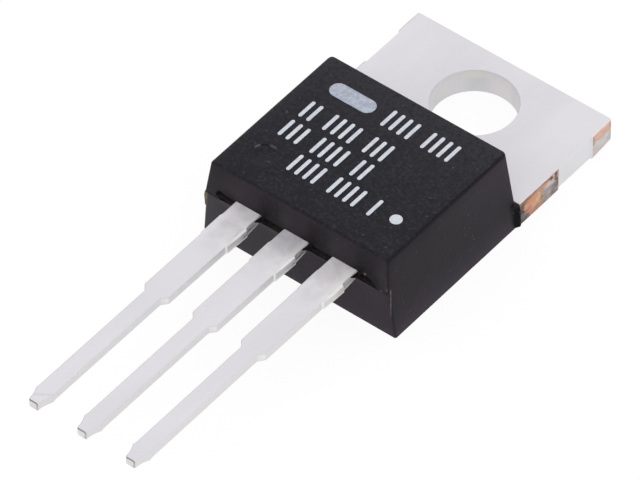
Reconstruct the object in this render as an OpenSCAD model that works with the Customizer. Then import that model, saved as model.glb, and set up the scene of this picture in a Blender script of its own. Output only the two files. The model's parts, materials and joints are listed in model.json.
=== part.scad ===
// Three-lead voltage regulator in a flat tab package, in millimetres.
// It lies on its metal back at z = 0. The origin is the centre of the
// mounting hole on that back face, the tab's far end points to +Y and the
// leads point to -Y. The marked face looks up.

/* [Heat tab] */
// Width of the tab
tab_w = 10.3; // [9.9:0.05:10.6]
// Thickness of the tab and of the plate under the body
tab_t = 1.27; // [1.1:0.01:1.4]
// From the hole's centre to the tab's far end
hole_to_end = 2.8; // [2.5:0.05:3.1]
// From the hole's centre to the moulded body
hole_to_body = 3.55; // [3.2:0.05:3.9]
// Diameter of the mounting hole
hole_d = 3.82; // [3.5:0.01:4.0]
// Length of each bare sheared edge at the far corners
shear_far = 1.35; // [0.8:0.05:1.8]
// Length of each bare sheared edge next to the body
shear_near = 2.65; // [2:0.05:3]
// How far the edge between the sheared lengths stands back
edge_recess = 0.08; // [0.05:0.01:0.25]
// Radius of the tab's far corners
tab_corner_r = 0.15; // [0.05:0.05:0.4]

/* [Plate under the body] */
// Width of the plate where the plastic grips it
plate_w = 8.4; // [7.8:0.1:8.8]
// Width of the plate's bare underside
plate_base_w = 7.6; // [7:0.1:7.7]
// Height of the step along the plate's sides
plate_step = 0.55; // [0.4:0.05:0.8]
// Length of the plate from the body's tab side
plate_len = 6.9; // [6.5:0.1:7.2]
// Radius of the two locking notches in the plate's sides
notch_r = 0.5; // [0.3:0.05:0.7]
// From the body's tab side to the centre of the notches
notch_in = 1.1; // [0.9:0.05:1.4]

/* [Leads] */
// Distance between neighbouring leads
lead_pitch = 2.54; // [2.5:0.01:2.6]
// Thickness of the leads
lead_t = 0.4; // [0.35:0.01:0.5]
// Height of the leads' underside above the back face
lead_z = 2.52; // [2.4:0.01:2.7]
// Width of a lead next to the body
lead_w = 1.3; // [1.1:0.01:1.4]
// Width of a lead past its shoulder
tail_w = 0.83; // [0.7:0.01:1]
// Width of the very tip
tip_w = 0.42; // [0.3:0.01:0.6]
// Length of the leads outside the body
lead_len = 13.7; // [13:0.1:14.5]
// From the body to the shoulder
shoulder_at = 5.9; // [5:0.1:6.5]
// Length over which the shoulder narrows
shoulder_run = 0.3; // [0.1:0.05:0.6]
// Length over which the tip narrows
tip_run = 0.68; // [0.4:0.02:1]
// From the body to the stub of the trimmed tie bar
stub_at = 0.4; // [0.3:0.05:0.6]
// Length of the stub along the lead
stub_len = 1.8; // [1.4:0.05:2]
// How far the stub stands out on each side
stub_out = 0.07; // [0.03:0.01:0.12]

/* [Leads inside the body] */
// From the body's front to the bonding posts
post_in = 1.1; // [0.9:0.05:1.3]
// Width of a bonding post
post_w = 2.1; // [1.8:0.05:2.3]
// Length of a bonding post
post_len = 1.5; // [1.3:0.05:1.7]
// Diameter of the locking hole in each post
post_hole_d = 0.6; // [0.4:0.05:0.7]
// From the body's front to the middle lead's first bend
bend_in = 0.45; // [0.3:0.05:0.6]
// Slope of the middle lead between its bends, in degrees
bend_angle = 55; // [45:1:65]
// Inside radius of the bends
bend_r = 0.25; // [0.15:0.05:0.35]
// Length of middle lead laid flat on the plate
lead_lap = 0.8; // [0.6:0.1:1.2]

/* [Moulded body] */
// Length of the body
body_len = 8.4; // [8.2:0.05:8.8]
// Height of the body over the back face
body_h = 4.25; // [4.1:0.01:4.6]
// Width of the body's top face
body_top_w = 9.29; // [8.9:0.01:9.6]
// Width of the body at the back face
body_base_w = 10.24; // [9.7:0.01:10.3]
// How far the front leans in above the mould's parting line
front_top_in = 0.22; // [0.1:0.01:0.4]
// How far the front leans in below the parting line
front_base_in = 0.14; // [0.05:0.01:0.25]
// How far the tab side leans in
back_top_in = 0.23; // [0.1:0.01:0.5]
// Radius of the rounded top edges
body_edge_r = 0.15; // [0.05:0.01:0.25]
// Length of the full-width foot against the tab
foot_len = 0.2; // [0.1:0.05:0.5]
// Width of the slot across the front between the leads
slot_w = 8.3; // [7.5:0.1:8.7]
// Depth of that slot
slot_depth = 0.3; // [0.1:0.05:0.5]
// Diameter of the ejector pin's mark
ejector_d = 1.35; // [1:0.05:1.6]
// Depth of the ejector pin's mark
ejector_depth = 0.03; // [0.02:0.01:0.1]
// From the middle of the body to the ejector mark
ejector_x = 3.1; // [2.8:0.05:3.4]
// From the body's front to the ejector mark
ejector_in = 1.9; // [1.6:0.05:2.4]

/* [Chip] */
// Width of the silicon chip
die_w = 3.2; // [3:0.1:3.6]
// Length of the silicon chip
die_len = 2.8; // [2.4:0.1:3]
// Thickness of the silicon chip
die_t = 0.3; // [0.2:0.01:0.4]
// From the body's tab side to the middle of the chip
die_in = 3.8; // [3.6:0.05:4]
// Thickness of the solder under the chip
solder_t = 0.06; // [0.03:0.01:0.1]
// How far the solder spreads past the chip
solder_margin = 0.15; // [0.05:0.05:0.3]

/* [Bond wires] */
// Diameter of the wires
wire_d = 0.25; // [0.2:0.01:0.3]
// Bow of the wires to the posts over the line between their ends
post_wire_bow = 0.75; // [0.6:0.05:0.85]
// Bow of the wires to the plate over the line between their ends
plate_wire_bow = 0.45; // [0.35:0.05:0.55]
// Length of the flattened wire at each bond
bond_len = 0.6; // [0.4:0.05:0.7]
// Width of the flattened wire at each bond
bond_w = 0.36; // [0.3:0.01:0.45]
// Thickness of the flattened wire at each bond
bond_t = 0.16; // [0.12:0.01:0.2]
// From the chip's edges to the nearest bonds on it
bond_in = 0.6; // [0.5:0.05:0.7]
// From the chip to the bonds on the plate
plate_bond_gap = 0.75; // [0.6:0.05:0.9]
// From the middle line to each wire that runs to the plate
plate_wire_x = 0.3; // [0.25:0.05:0.35]
// From a post's inner end to the bonds on it
post_bond_in = 0.55; // [0.45:0.05:0.65]
// Distance between the two bonds on the input lead's post
post_bond_gap = 0.8; // [0.7:0.05:0.9]
// Distance between the same two wires' bonds on the chip
chip_bond_gap = 0.9; // [0.8:0.05:1]

/* [Face marks] */
// Thickness of the printed ink
ink_t = 0.02; // [0.01:0.005:0.04]
// Height of the upright strokes
stroke_h = 1.05; // [0.8:0.05:1.1]
// Width of the strokes, whose ends are round
stroke_w = 0.17; // [0.12:0.01:0.2]
// Distance from stroke to stroke
stroke_pitch = 0.42; // [0.4:0.01:0.46]
// How many places for strokes the first row has
first_row_places = 10; // [7:1:10]
// How many places for strokes each row below has
row_places = 11; // [8:1:11]
// From the body's tab side to the middle of the first row
first_row_in = 1.72; // [1.4:0.02:1.9]
// From the first row down to the second
second_row_drop = 1.68; // [1.5:0.02:1.8]
// Distance between the rows below
row_pitch = 1.36; // [1.2:0.02:1.4]
// From the middle of the body to the first row's left end
first_row_x = 0.4; // [0.2:0.05:0.6]
// From the middle of the body to the left end of the two rows below it
long_rows_x = 3.4; // [3:0.05:3.6]
// From the middle of the body to the last row's left end
last_row_x = 1.85; // [1.6:0.05:2.2]
// Length of the plain bar beside the first row, whose ends are round
bar_w = 2.3; // [1.8:0.1:2.4]
// Height of the plain bar
bar_h = 0.8; // [0.6:0.05:1]
// From the middle of the body to the middle of the plain bar
bar_x = 2.3; // [2.2:0.05:2.6]
// Diameter of the dot
dot_d = 0.55; // [0.3:0.05:0.7]
// From the middle of the body to the dot
dot_x = 3.45; // [3.2:0.05:3.7]
// From the body's front to the dot
dot_in = 2.3; // [2:0.05:2.6]

/* [Hidden] */
$fn = 64;

// Overshoot of a cutting shape past the face that it cuts
cut = 1;
// Straight pieces in each rounded corner of an outline
corner_steps = 6;
// In a row of strokes, one place in this many is left out
gap_every = 5;
// Places along Y
back_y = -hole_to_body;
front_y = back_y - body_len;
plate_end_y = back_y - plate_len;
tip_y = front_y - lead_len;
post_y = front_y + post_in + post_len;
die_y = back_y - die_in;
// Heights
lead_top = lead_z + lead_t;
lap_z = tab_t - lead_t;
die_z = tab_t + solder_t;
die_top = die_z + die_t;

// Each corner of an outline replaced by an arc of its own radius
function unit(v) = v / norm(v);
function corner_arc(before, corner, after, r) =
    r == 0 ? [corner] :
    let (a = unit(before - corner),
         b = unit(after - corner),
         half = acos(a * b) / 2,
         centre = corner + unit(a + b) * r / sin(half),
         start = corner + a * r / tan(half) - centre,
         end = corner + b * r / tan(half) - centre,
         from = atan2(start.y, start.x),
         turn = (atan2(end.y, end.x) - from + 540) % 360 - 180)
    [for (k = [0 : corner_steps])
        centre + r * [cos(from + turn * k / corner_steps), sin(from + turn * k / corner_steps)]];
function rounded(points, radii) =
    let (n = len(points))
    [for (i = [0 : n - 1])
        each corner_arc(points[(i + n - 1) % n], points[i], points[(i + 1) % n], radii[i])];
// An outline drawn for x > 0, closed by its mirror image
function both_sides(half_outline) =
    let (n = len(half_outline))
    concat(half_outline, [for (i = [n - 1 : -1 : 0]) [-half_outline[i].x, half_outline[i].y]]);

// A (y, z) outline given a width along X, and an (x, z) outline given a length along Y
module across(width) { rotate([90, 0, 90]) linear_extrude(width, center = true) children(); }
module along(y_from, y_to) {
    translate([0, y_to, 0]) rotate([90, 0, 0]) linear_extrude(y_to - y_from) children();
}

// Tab and plate, seen from above and drawn for x > 0
module tab_outline() {
    far = hole_to_end - shear_far;
    near = back_y + shear_near;
    runout = edge_recess;
    inner = tab_w / 2 - edge_recess;
    polygon(both_sides(concat(
        corner_arc([0, hole_to_end], [tab_w / 2, hole_to_end], [tab_w / 2, far], tab_corner_r),
        [[tab_w / 2, far], [inner, far - runout], [inner, near + runout],
         [tab_w / 2, near], [tab_w / 2, back_y]])));
}

module plate() {
    module slab(width, z_from, z_to) {
        translate([-width / 2, plate_end_y, z_from]) cube([width, plate_len + cut, z_to - z_from]);
    }
    intersection() {
        difference() {
            union() {
                slab(plate_base_w, 0, tab_t);
                slab(plate_w, plate_step, tab_t);
            }
            for (side = [-1, 1])
                translate([side * plate_w / 2, back_y - notch_in, -cut])
                    cylinder(r = notch_r, h = tab_t + 2 * cut);
        }
        translate([-plate_w / 2, plate_end_y, 0]) cube([plate_w, plate_len + cut / 2, tab_t]);
    }
}

// One lead seen from above, from inner_y inside the body to its tip, about x = 0
function lead_outline(inner_y) = both_sides([
    [lead_w / 2, inner_y],
    [lead_w / 2, front_y - stub_at],
    [lead_w / 2 + stub_out, front_y - stub_at],
    [lead_w / 2 + stub_out, front_y - stub_at - stub_len],
    [lead_w / 2, front_y - stub_at - stub_len],
    [lead_w / 2, front_y - shoulder_at],
    [tail_w / 2, front_y - shoulder_at - shoulder_run],
    [tail_w / 2, tip_y + tip_run],
    [tip_w / 2, tip_y]]);

// The middle lead from the side: flat to the tip, bent down and laid into the plate
module middle_lead_profile() {
    drop = lead_z - lap_z;
    run = drop / tan(bend_angle);
    shift = lead_t * tan(bend_angle / 2);
    upper_y = front_y + bend_in;
    lower_y = upper_y + run;
    end_y = plate_end_y + lead_lap;
    outer_r = bend_r + lead_t;
    polygon(rounded(
        [[tip_y - cut, lead_z], [upper_y, lead_z], [lower_y, lap_z], [end_y, lap_z],
         [end_y, tab_t], [lower_y + shift, tab_t], [upper_y + shift, lead_top],
         [tip_y - cut, lead_top]],
        [0, bend_r, outer_r, 0, 0, bend_r, outer_r, 0]));
}

module middle_lead() {
    intersection() {
        linear_extrude(lead_top + cut) polygon(lead_outline(back_y));
        across(lead_w + 2 * stub_out + cut) middle_lead_profile();
    }
}

module heat_tab_with_middle_lead() {
    color("lightgray") difference() {
        union() {
            linear_extrude(tab_t) tab_outline();
            plate();
            middle_lead();
        }
        translate([0, 0, -cut]) cylinder(d = hole_d, h = tab_t + 2 * cut);
    }
}

// A lead that ends in a wide bonding post with a locking hole
module outer_lead(side) {
    translate([side * lead_pitch, 0, lead_z]) difference() {
        union() {
            linear_extrude(lead_t) polygon(lead_outline(post_y - post_len / 2));
            translate([-post_w / 2, post_y - post_len, 0]) cube([post_w, post_len, lead_t]);
        }
        translate([0, post_y - post_len + post_hole_d, -cut])
            cylinder(d = post_hole_d, h = lead_t + 2 * cut);
    }
}

module ground_lead() { color("lightgray") outer_lead(-1); }
module input_lead() { color("lightgray") outer_lead(1); }

module chip_solder() {
    size = [die_w + 2 * solder_margin, die_len + 2 * solder_margin, solder_t];
    color("darkgray") translate([-size.x / 2, die_y - size.y / 2, tab_t]) cube(size);
}

module silicon_chip() {
    color("slategray") translate([-die_w / 2, die_y - die_len / 2, die_z])
        cube([die_w, die_len, die_t]);
}

// A wire bowed between two points on flat pads, flattened at both ends
module bond_wire(start, end, bow) {
    reach = end - start;
    span = norm([reach.x, reach.y]);
    chord = norm(reach);
    tilt = atan2(reach.z, span);
    r = (chord * chord / 4 + bow * bow) / (2 * bow);
    half = 2 * atan(2 * bow / chord);
    module bond(x) { translate([x - bond_len / 2, -bond_w / 2, 0]) cube([bond_len, bond_w, bond_t]); }
    color("gainsboro") translate(start) rotate(atan2(reach.y, reach.x)) {
        bond(0);
        translate([0, 0, reach.z]) bond(span);
        translate([span / 2 + (r - bow) * sin(tilt), 0,
                   wire_d / 2 + reach.z / 2 - (r - bow) * cos(tilt)])
            rotate([90, 0, 0]) rotate(90 + tilt - half)
                rotate_extrude(angle = 2 * half) translate([r, 0]) circle(d = wire_d);
    }
}

// A wire from the chip to an outer lead's post. chip_back sets its bond on the chip
// further from the leads, and post_x its bond on the post off the lead's middle line.
module post_wire(side, chip_back, post_x) {
    bond_wire([side * (die_w / 2 - bond_in), die_y - die_len / 2 + bond_in + chip_back, die_top],
              [side * lead_pitch + post_x, post_y - post_bond_in, lead_top],
              post_wire_bow);
}

// A wire from the chip down to the plate in front of it
module plate_wire(side) {
    bond_wire([side * plate_wire_x, die_y - die_len / 2 + bond_in, die_top],
              [side * plate_wire_x, die_y - die_len / 2 - plate_bond_gap, tab_t],
              plate_wire_bow);
}

module ground_wire() { post_wire(-1, 0, 0); }
module input_wire_inner() { post_wire(1, 0, -post_bond_gap / 2); }
module input_wire_outer() { post_wire(1, chip_bond_gap, post_bond_gap / 2); }
module output_wire_left() { plate_wire(-1); }
module output_wire_right() { plate_wire(1); }

// The plastic before anything is moulded into it
module body_block() {
    intersection() {
        across(tab_w) polygon(rounded(
            [[back_y, 0], [back_y, tab_t], [back_y - back_top_in, body_h],
             [front_y + front_top_in, body_h], [front_y, lead_z], [front_y + front_base_in, 0]],
            [0, 0, body_edge_r, body_edge_r, 0, 0]));
        along(front_y - cut, back_y + cut) polygon(rounded(
            [[body_base_w / 2, 0], [body_top_w / 2, body_h],
             [-body_top_w / 2, body_h], [-body_base_w / 2, 0]],
            [0, body_edge_r, body_edge_r, 0]));
    }
    translate([-tab_w / 2, back_y - foot_len, 0]) cube([tab_w, foot_len, tab_t]);
}

module moulded_body() {
    color("#3a383c") difference() {
        body_block();
        translate([-slot_w / 2, front_y - cut, lead_z]) cube([slot_w, slot_depth + cut, lead_t]);
        translate([-ejector_x, front_y + ejector_in, body_h - ejector_depth])
            cylinder(d = ejector_d, h = ejector_depth + cut);
        heat_tab_with_middle_lead();
        ground_lead();
        input_lead();
        chip_solder();
        silicon_chip();
        ground_wire();
        input_wire_inner();
        input_wire_outer();
        output_wire_left();
        output_wire_right();
    }
}

// A bar with round ends along X
module round_bar(w, h) {
    square([w - h, h], center = true);
    for (side = [-1, 1]) translate([side * (w - h) / 2, 0]) circle(d = h);
}

// A row of upright strokes from its left end on, with a place left out now and then.
// first_gap is the first place left out.
module stroke_row(left_x, y, places, first_gap) {
    translate([left_x, y])
        for (k = [0 : places - 1])
            if ((k - first_gap) % gap_every != 0)
                translate([k * stroke_pitch, 0]) rotate(90) round_bar(stroke_h, stroke_w);
}

module face_marks() {
    first_y = back_y - first_row_in;
    second_y = first_y - second_row_drop;
    color("whitesmoke") translate([0, 0, body_h]) linear_extrude(ink_t) {
        translate([-bar_x, first_y]) round_bar(bar_w, bar_h);
        stroke_row(-first_row_x, first_y, first_row_places, 4);
        stroke_row(-long_rows_x, second_y, row_places, 2);
        stroke_row(-long_rows_x, second_y - row_pitch, row_places, 3);
        stroke_row(-last_row_x, second_y - 2 * row_pitch, row_places, 4);
        translate([dot_x, front_y + dot_in]) circle(d = dot_d);
    }
}

moulded_body();
heat_tab_with_middle_lead();
ground_lead();
input_lead();
silicon_chip();
chip_solder();
ground_wire();
input_wire_inner();
input_wire_outer();
output_wire_left();
output_wire_right();
face_marks();
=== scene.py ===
"""Looks of a three-lead voltage regulator that lies on its metal back."""
import json
import math

import bmesh
import bpy
from mathutils import Matrix, Vector, noise


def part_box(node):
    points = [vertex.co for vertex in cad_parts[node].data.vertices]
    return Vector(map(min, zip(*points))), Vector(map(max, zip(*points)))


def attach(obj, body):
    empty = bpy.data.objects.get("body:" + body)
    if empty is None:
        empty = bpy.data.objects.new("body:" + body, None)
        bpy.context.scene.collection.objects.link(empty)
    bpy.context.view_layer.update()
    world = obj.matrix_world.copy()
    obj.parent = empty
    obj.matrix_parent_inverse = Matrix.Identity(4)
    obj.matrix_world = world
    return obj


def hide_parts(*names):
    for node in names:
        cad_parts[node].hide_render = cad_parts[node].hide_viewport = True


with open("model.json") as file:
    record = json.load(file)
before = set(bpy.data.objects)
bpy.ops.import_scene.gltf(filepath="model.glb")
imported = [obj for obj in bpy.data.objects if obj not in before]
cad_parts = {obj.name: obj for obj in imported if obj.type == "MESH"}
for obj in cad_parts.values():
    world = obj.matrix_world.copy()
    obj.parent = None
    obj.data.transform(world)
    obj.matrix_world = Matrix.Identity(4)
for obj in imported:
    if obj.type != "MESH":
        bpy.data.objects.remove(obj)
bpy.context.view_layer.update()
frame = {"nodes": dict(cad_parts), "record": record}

MM = 0.001

# Places and sizes that the frame gives, in millimetres


def box_mm(node):
    low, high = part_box(node)
    return low / MM, high / MM


BODY_LOW, BODY_HIGH = box_mm("moulded_body")
TAB_LOW, TAB_HIGH = box_mm("heat_tab_with_middle_lead")
LEAD_LOW, LEAD_HIGH = box_mm("input_lead")
MOUNTS = {m["name"]: m for m in frame["record"]["mounts"]}
HOLE_R = MOUNTS["screw_hole"]["dims"]["r_mm"]
TAB_T = MOUNTS["screw_hole"]["dims"]["length_mm"]
FRONT_Y = BODY_LOW.y
BACK_Y = BODY_HIGH.y
BODY_H = BODY_HIGH.z
TIP_Y = LEAD_LOW.y
LEAD_Z = LEAD_LOW.z
LEAD_TOP = LEAD_HIGH.z
LEAD_T = LEAD_TOP - LEAD_Z
LEAD_PITCH = (LEAD_LOW.x + LEAD_HIGH.x) / 2
POST_Y = LEAD_HIGH.y
POST_W = LEAD_HIGH.x - LEAD_LOW.x
TAB_W = TAB_HIGH.x - TAB_LOW.x
TAB_END_Y = TAB_HIGH.y

# Shape of the moulded body
BODY_TOP_W = 9.29
BODY_BASE_W = 10.24
FRONT_TOP_IN = 0.22
FRONT_BASE_IN = 0.15
FRONT_LOWER_IN = 0.06
BACK_TOP_IN = 0.23
BODY_EDGE_R = 0.15
BODY_CORNER_R = 0.11
BODY_BACK_CORNER_R = 0.22
BASE_EDGE_R = 0.04
STEP_OUT = 0.03
LOWER_SHIFT = 0.025
SLOT_DEPTH = 0.3
EJECTOR_D = 1.35
EJECTOR_DEPTH = 0.03
EJECTOR_X = -3.1
EJECTOR_IN = 1.81
# how far the black sheet of the body's compound reaches along each lead's right side
SKIN_REACH = {-LEAD_PITCH: 0.36, 0: 0.40, LEAD_PITCH: 0.38}
# the fin of resin on the left front corner
FIN_LOW = 1.6
FIN_REACH = 0.07

# Shape of the tab and the plate under the body
SHEAR_FAR = 1.35
SHEAR_NEAR = 2.65
EDGE_RECESS = 0.08
FAR_RAMP = 0.16
TAB_CORNER_R = 0.15
TAB_LEFT_CORNER_R = 0.07
TAB_LEFT_OUT = 0.03
PLATE_W = 8.4
PLATE_BASE_W = 7.6
PLATE_STEP = 0.55
PLATE_LEN = 6.9
NOTCH_R = 0.5
NOTCH_IN = 1.1
PLATE_END_Y = BACK_Y - PLATE_LEN

# Shape of the leads
LEAD_W = 1.3
TAIL_W = 0.83
SHOULDER_AT = 5.9
SHOULDER_RUN = 0.24
STUB_AT = 0.4
STUB_SPLIT = 0.94
STUB_LEFT_AT = 0.72
STUB_LEN = 1.8
STUB_OUT = 0.07
POST_LEN = 1.5
POST_HOLE_D = 0.6
BEND_IN = 0.45
BEND_ANGLE = math.radians(55)
BEND_R = 0.25
LEAD_LAP = 0.8

# Camera
CAMERA_AIM = Vector((0.357, -10.804, 2.0))
CAMERA_AZIMUTH = math.radians(39.279)
CAMERA_ELEVATION = math.radians(46.191)
CAMERA_ROLL = math.radians(-0.771)
CAMERA_DISTANCE = 342.07
CAMERA_LENS = 466.94


def show(name, data):
    """Puts data into the scene as an object."""
    item = bpy.data.objects.new(name, data)
    bpy.context.scene.collection.objects.link(item)
    return item


def make_camera():
    data = bpy.data.cameras.new("camera")
    data.lens = CAMERA_LENS
    data.sensor_width = 36
    data.clip_start = 0.01
    data.clip_end = 10
    camera = show("camera", data)
    back = Vector((math.sin(CAMERA_AZIMUTH) * math.cos(CAMERA_ELEVATION),
                   -math.cos(CAMERA_AZIMUTH) * math.cos(CAMERA_ELEVATION),
                   math.sin(CAMERA_ELEVATION)))
    right = Vector((0, 0, 1)).cross(back).normalized()
    up = back.cross(right)
    turned_right = math.cos(CAMERA_ROLL) * right + math.sin(CAMERA_ROLL) * up
    turned_up = -math.sin(CAMERA_ROLL) * right + math.cos(CAMERA_ROLL) * up
    turn = Matrix((turned_right, turned_up, back)).transposed()
    place = (CAMERA_AIM + back * CAMERA_DISTANCE) * MM
    camera.matrix_world = Matrix.Translation(place) @ turn.to_4x4()
    bpy.context.scene.camera = camera


# Node materials


class Nodes:
    """Short calls that add nodes to one material and link them.

    x, y and z are places in mm, ahead is a distance in front of the body, and rise a height
    over the leads' underside.
    """

    def __init__(self, name):
        self.material = bpy.data.materials.new(name)
        self.material.use_nodes = True
        self.tree = self.material.node_tree
        self.tree.nodes.clear()
        self.output = self.tree.nodes.new("ShaderNodeOutputMaterial")
        coordinates = self.tree.nodes.new("ShaderNodeTexCoord").outputs
        self.place = coordinates["Object"]
        self.normal = coordinates["Normal"]
        self.colour = None
        self.x, self.y, self.z = [self.times(part, 1 / MM) for part in self.parts(self.place)]
        self.ahead = self.minus(FRONT_Y, self.y)
        self.rise = self.minus(self.z, LEAD_Z)

    def add(self, kind, inputs=None, **settings):
        node = self.tree.nodes.new(kind)
        for key, value in settings.items():
            setattr(node, key, value)
        for key, value in (inputs or {}).items():
            self.feed(node.inputs[key], value)
        return node

    def feed(self, socket, value):
        """Links another node's output to an input, or writes a value or a colour into it."""
        if isinstance(value, bpy.types.NodeSocket):
            self.tree.links.new(value, socket)
        else:
            socket.default_value = (*value, 1.0) if socket.type == "RGBA" else value

    def parts(self, vector):
        return self.add("ShaderNodeSeparateXYZ", {0: vector}).outputs

    def noise(self, per_mm, detail=2.0, rough=0.5, stretch=(1, 1, 1), distortion=0.0):
        scale = [part * per_mm / MM for part in stretch]
        vector = self.add("ShaderNodeMapping", {"Vector": self.place, "Scale": scale}).outputs[0]
        return self.add("ShaderNodeTexNoise",
                        {"Vector": vector, "Scale": 1.0, "Detail": detail,
                         "Roughness": rough, "Distortion": distortion}).outputs["Fac"]

    def math(self, operation, a, b=0.0):
        return self.add("ShaderNodeMath", {0: a, 1: b}, operation=operation).outputs[0]

    def plus(self, a, b):
        return self.math("ADD", a, b)

    def minus(self, a, b):
        return self.math("SUBTRACT", a, b)

    def times(self, a, b):
        return self.math("MULTIPLY", a, b)

    def larger(self, a, b):
        return self.math("MAXIMUM", a, b)

    def size(self, a):
        """The value without its sign."""
        return self.math("ABSOLUTE", a)

    def both(self, *masks, **bands):
        """The product of masks, plain numbers and bands along x, y, z, ahead or rise."""
        factors = [*masks, *(self.band(getattr(self, axis), *ends) for axis, ends in bands.items())]
        product = factors[0]
        for factor in factors[1:]:
            product = self.times(product, factor)
        return product

    def remap(self, value, low, high, to_low=0.0, to_high=1.0):
        return self.add("ShaderNodeMapRange",
                        {"Value": value, "From Min": low, "From Max": high,
                         "To Min": to_low, "To Max": to_high}).outputs[0]

    def band(self, value, start, full, full_end=None, end=None):
        """1 from full on, and up to full_end if that is given. 0 before start and after end."""
        mask = self.remap(value, start, full)
        return mask if end is None else self.times(mask, self.remap(value, end, full_end))

    def close_to(self, value, centre, outer, inner):
        """1 within inner of a centre, 0 beyond outer."""
        return self.remap(self.size(self.minus(value, centre)), outer, inner)

    def spot(self, a, b, centre, reach, soft=0.5):
        """1 well inside an oval in the plane of a and b, 0 outside it."""
        parts = [self.times(self.minus(value, middle), 1 / half)
                 for value, middle, half in zip((a, b), centre, reach)]
        squares = [self.times(part, part) for part in parts]
        return self.remap(self.plus(*squares), 1 + soft, 1 - soft)

    def facing(self, axis, sign=1):
        """1 on faces that look along an axis of the piece, 0 on faces that look elsewhere."""
        return self.remap(self.times(self.parts(self.normal)[axis], sign), 0.6, 0.9)

    def mix(self, factor, a, b):
        return self.add("ShaderNodeMix", {0: factor, 6: a, 7: b}, data_type="RGBA").outputs[2]

    def blend(self, grain, dark, light, low=0.35, high=0.65):
        """Two colours mixed by a noise."""
        return self.mix(self.remap(grain, low, high), dark, light)

    def coat(self, paint, *masks, **bands):
        """Lays a colour over the ones before it, where all of the masks and bands are 1."""
        self.colour = self.mix(self.both(*masks, **bands), self.colour, paint)

    def bump(self, height, depth_mm, normal=None):
        inputs = {"Height": height, "Strength": 1.0, "Distance": depth_mm * MM}
        if normal is not None:
            inputs["Normal"] = normal
        return self.add("ShaderNodeBump", inputs).outputs[0]

    def surface(self, **inputs):
        """The material in the colour laid on so far."""
        shader = self.add("ShaderNodeBsdfPrincipled", {"Base Color": self.colour})
        for name, value in inputs.items():
            self.feed(shader.inputs[name.replace("_", " ")], value)
        self.tree.links.new(shader.outputs[0], self.output.inputs[0])
        return self.material

    def finish(self, grain, roughness, bump_mm, **more):
        """A surface whose roughness, between two values, and bumps follow one noise."""
        return self.surface(Roughness=self.remap(grain, 0.3, 0.7, *roughness),
                            Normal=self.bump(grain, bump_mm), **more)


def tone(red, green, blue):
    """A colour written as it looks on a screen, as the linear values that shaders take."""
    return tuple(((value / 255 + 0.055) / 1.055) ** 2.4 for value in (red, green, blue))


def plain_material(name, per_mm, dark, light, roughness, bump_mm, stretch=(1, 1, 1), **more):
    """Two tones mixed by one noise."""
    n = Nodes(name)
    grain = n.noise(per_mm, stretch=stretch)
    n.colour = n.blend(grain, dark, light)
    return n.finish(grain, roughness, bump_mm, **more)


def diagonal(n, x, y, cosine=0.774, sine=0.633):
    """Places along and across the line on which wear is laid out, turned 39 degrees from X."""
    return (n.plus(n.times(x, cosine), n.times(y, sine)),
            n.minus(n.times(y, cosine), n.times(x, sine)))


# The body's materials


def epoxy_material():
    """Charcoal moulding compound: fine grain, faint cloudiness and a few pale filler specks."""
    n = Nodes("moulded_epoxy")
    top, side, front = n.facing("Z"), n.facing("X"), n.facing("Y", -1)
    cloud = n.noise(0.9, detail=3)
    n.colour = n.blend(cloud, (0.0058, 0.0038, 0.0072), (0.0095, 0.0066, 0.0110), 0.3, 0.7)
    # painted shade: the top face gets a darker, bluer copy of the compound
    bluish_top_shade = n.blend(cloud, (0.0042, 0.0042, 0.0078), (0.0075, 0.0076, 0.0125), 0.3, 0.7)
    n.coat(bluish_top_shade, top)
    epoxy_painted_reflection(n, top, side)
    epoxy_front(n, front)
    slot_marks_and_shade(n, front)
    corner_marks(n, front)
    # painted shade: the foot beside the tab is made almost black, and dull
    foot = n.both(x=(BODY_TOP_W / 2 + 0.25, BODY_TOP_W / 2 + 0.3), y=(BACK_Y - 0.44, BACK_Y - 0.26),
                  z=(1.35, 1.15))
    n.coat((0.0012, 0.0010, 0.0012), foot)
    grain = n.noise(6.5, detail=3, rough=0.7)
    epoxy_grain(n, grain, top)
    ejector_painted_light(n, top)
    normal = n.bump(n.noise(1.6), 0.004, n.bump(grain, 0.008))
    # the foot's painted shade also lowers the specular level there
    return n.surface(Roughness=n.remap(grain, 0.3, 0.7, 0.46, 0.62), Normal=normal,
                     Specular_IOR_Level=n.remap(foot, 0, 1, 0.2, 0.07),
                     Specular_Tint=(0.98, 0.91, 1.0))


def epoxy_painted_reflection(n, top, side):
    """Painted reflection: the top paler toward the back and the left, the side paler low down and toward
    the back and top; darker along an edge.
    """
    half = BODY_TOP_W / 2
    # painted reflection on the top, paler toward the back and the left
    painted_reflection = n.plus(n.math("POWER", n.remap(n.y, FRONT_Y, BACK_Y), 2.5),
                  n.remap(n.x, 0.7 - half, -half, 0, 0.35))
    n.coat((0.026, 0.0255, 0.031), top, painted_reflection, 0.8)
    # painted reflection on the side, paler low down and toward the back and top
    low = n.math("POWER", n.remap(n.z, 1.8, 0.0), 1.5)
    far = n.both(y=(-9.5, BACK_Y), z=(0.8, BODY_H))
    n.coat((0.030, 0.0225, 0.0325), side, n.larger(low, far))
    edge = n.both(0.85, x=(half - 0.10, half - 0.05),
                  z=(BODY_H - 0.24, BODY_H - 0.14, BODY_H - 0.03, BODY_H + 0.01))
    n.coat((0.0012, 0.0006, 0.0014), edge)


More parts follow.
